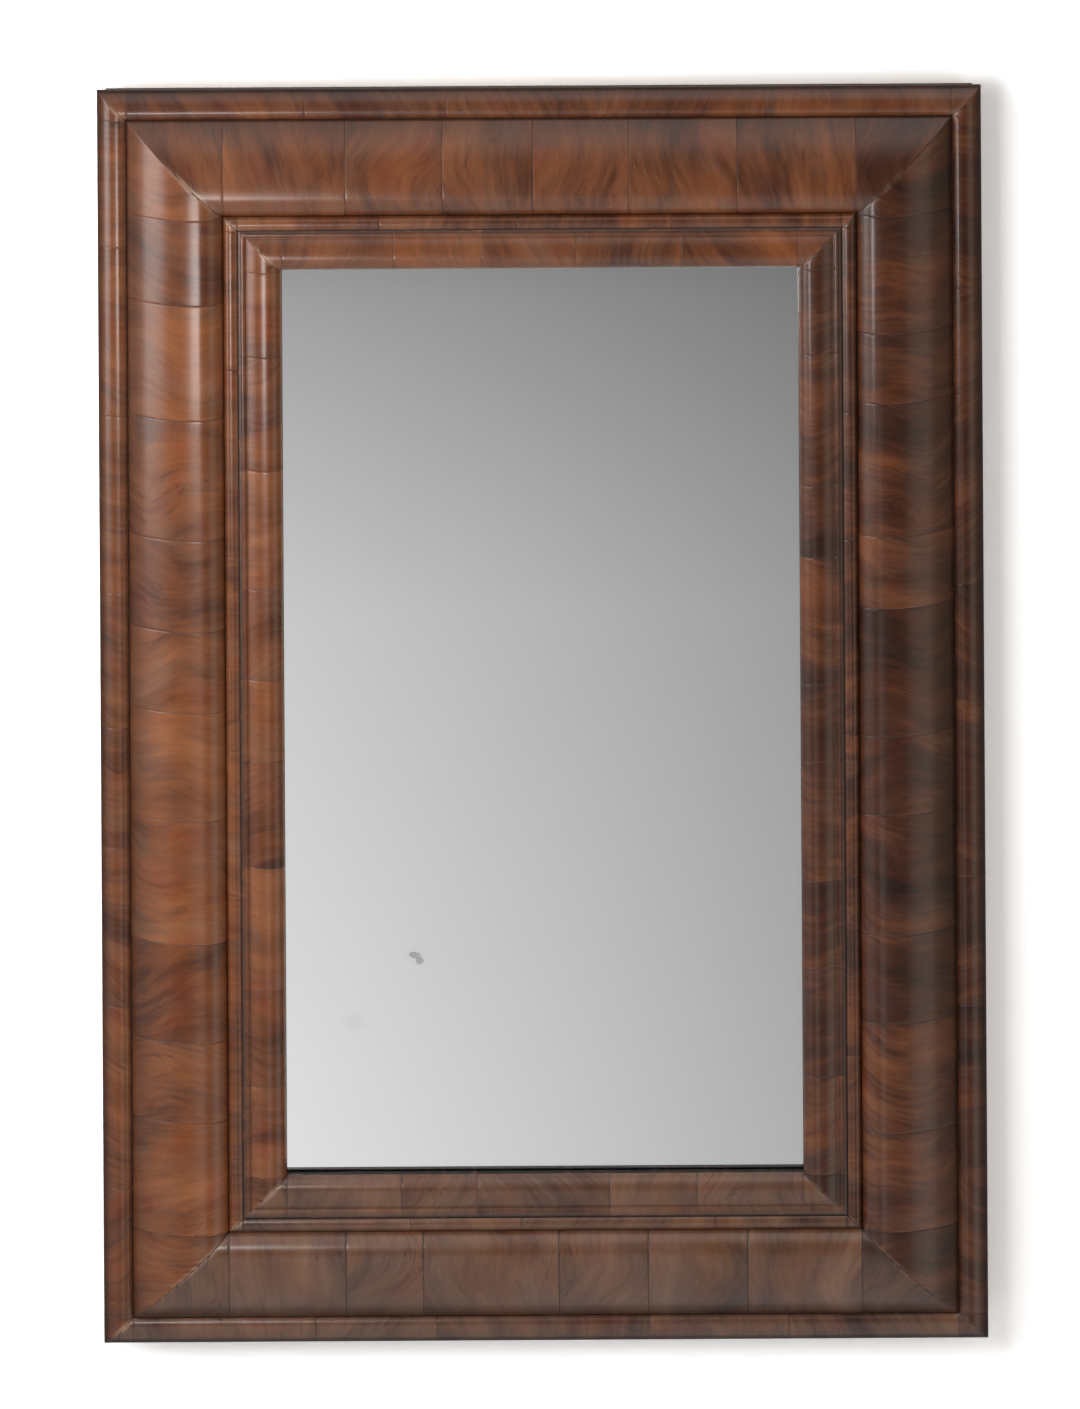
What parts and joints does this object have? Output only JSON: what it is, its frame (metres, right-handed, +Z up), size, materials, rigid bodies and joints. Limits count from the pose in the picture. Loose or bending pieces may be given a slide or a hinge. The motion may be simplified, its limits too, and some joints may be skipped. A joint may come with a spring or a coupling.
{
  "type": "cushion mirror",
  "caption": "Wall mirror in a rectangular cushion frame of cross-grain walnut, with an old plate and two ring hangers behind.",
  "frame": {"origin": "centre of the backboard's rear face, on the wall plane", "axes": "+X to the right as seen from the front, +Y into the wall, +Z up; the front faces -Y"},
  "size_m": [0.61, 0.0574, 0.914],
  "materials": {
    "walnut": "old waxed polish over cross-grain figure",
    "softwood": "bare, darkened with age",
    "oak": "bare, dark",
    "plate_glass": "polished",
    "silver": "aged silvering",
    "dark_iron": "dull, browned",
    "old_brass": "dull, tarnished"
  },
  "bodies": {
    "frame": {"backboard_lower": "softwood", "backboard_middle": "softwood", "backboard_nails": "dark_iron", "backboard_upper": "softwood", "carcass_rail_bottom": "softwood", "carcass_rail_top": "softwood", "carcass_stile_left": "softwood", "carcass_stile_right": "softwood", "corner_pegs": "oak", "cushion_core_bottom": "softwood", "cushion_core_left": "softwood", "cushion_core_right": "softwood", "cushion_core_top": "softwood", "cushion_veneer_bottom": "walnut", "cushion_veneer_left": "walnut", "cushion_veneer_right": "walnut", "cushion_veneer_top": "walnut", "hanger_screws_left": "old_brass", "hanger_screws_right": "old_brass", "hanger_strap_left": "old_brass", "hanger_strap_right": "old_brass", "inner_bead_bottom": "walnut", "inner_bead_left": "walnut", "inner_bead_right": "walnut", "inner_bead_top": "walnut", "mirror_glass": "plate_glass", "outer_bead_bottom": "walnut", "outer_bead_left": "walnut", "outer_bead_right": "walnut", "outer_bead_top": "walnut", "plate_blocks": "softwood", "sight_ground_bottom": "softwood", "sight_ground_left": "softwood", "sight_ground_right": "softwood", "sight_ground_top": "softwood", "sight_moulding_bottom": "walnut", "sight_moulding_left": "walnut", "sight_moulding_right": "walnut", "sight_moulding_top": "walnut", "silvering": "silver"},
    "ring_left": {"hanger_ring_left": "old_brass"},
    "ring_right": {"hanger_ring_right": "old_brass"}
  },
  "joints": [
    {"name": "ring_swing_left", "type": "hinge", "parent": "frame", "child": "ring_left", "pos_m": [-0.257, -0.0037, 0.23], "axis": [1, 0, 0], "range_deg": [0, 180]},
    {"name": "ring_swing_right", "type": "hinge", "parent": "frame", "child": "ring_right", "pos_m": [0.257, -0.0037, 0.23], "axis": [1, 0, 0], "range_deg": [0, 180]}
  ]
}
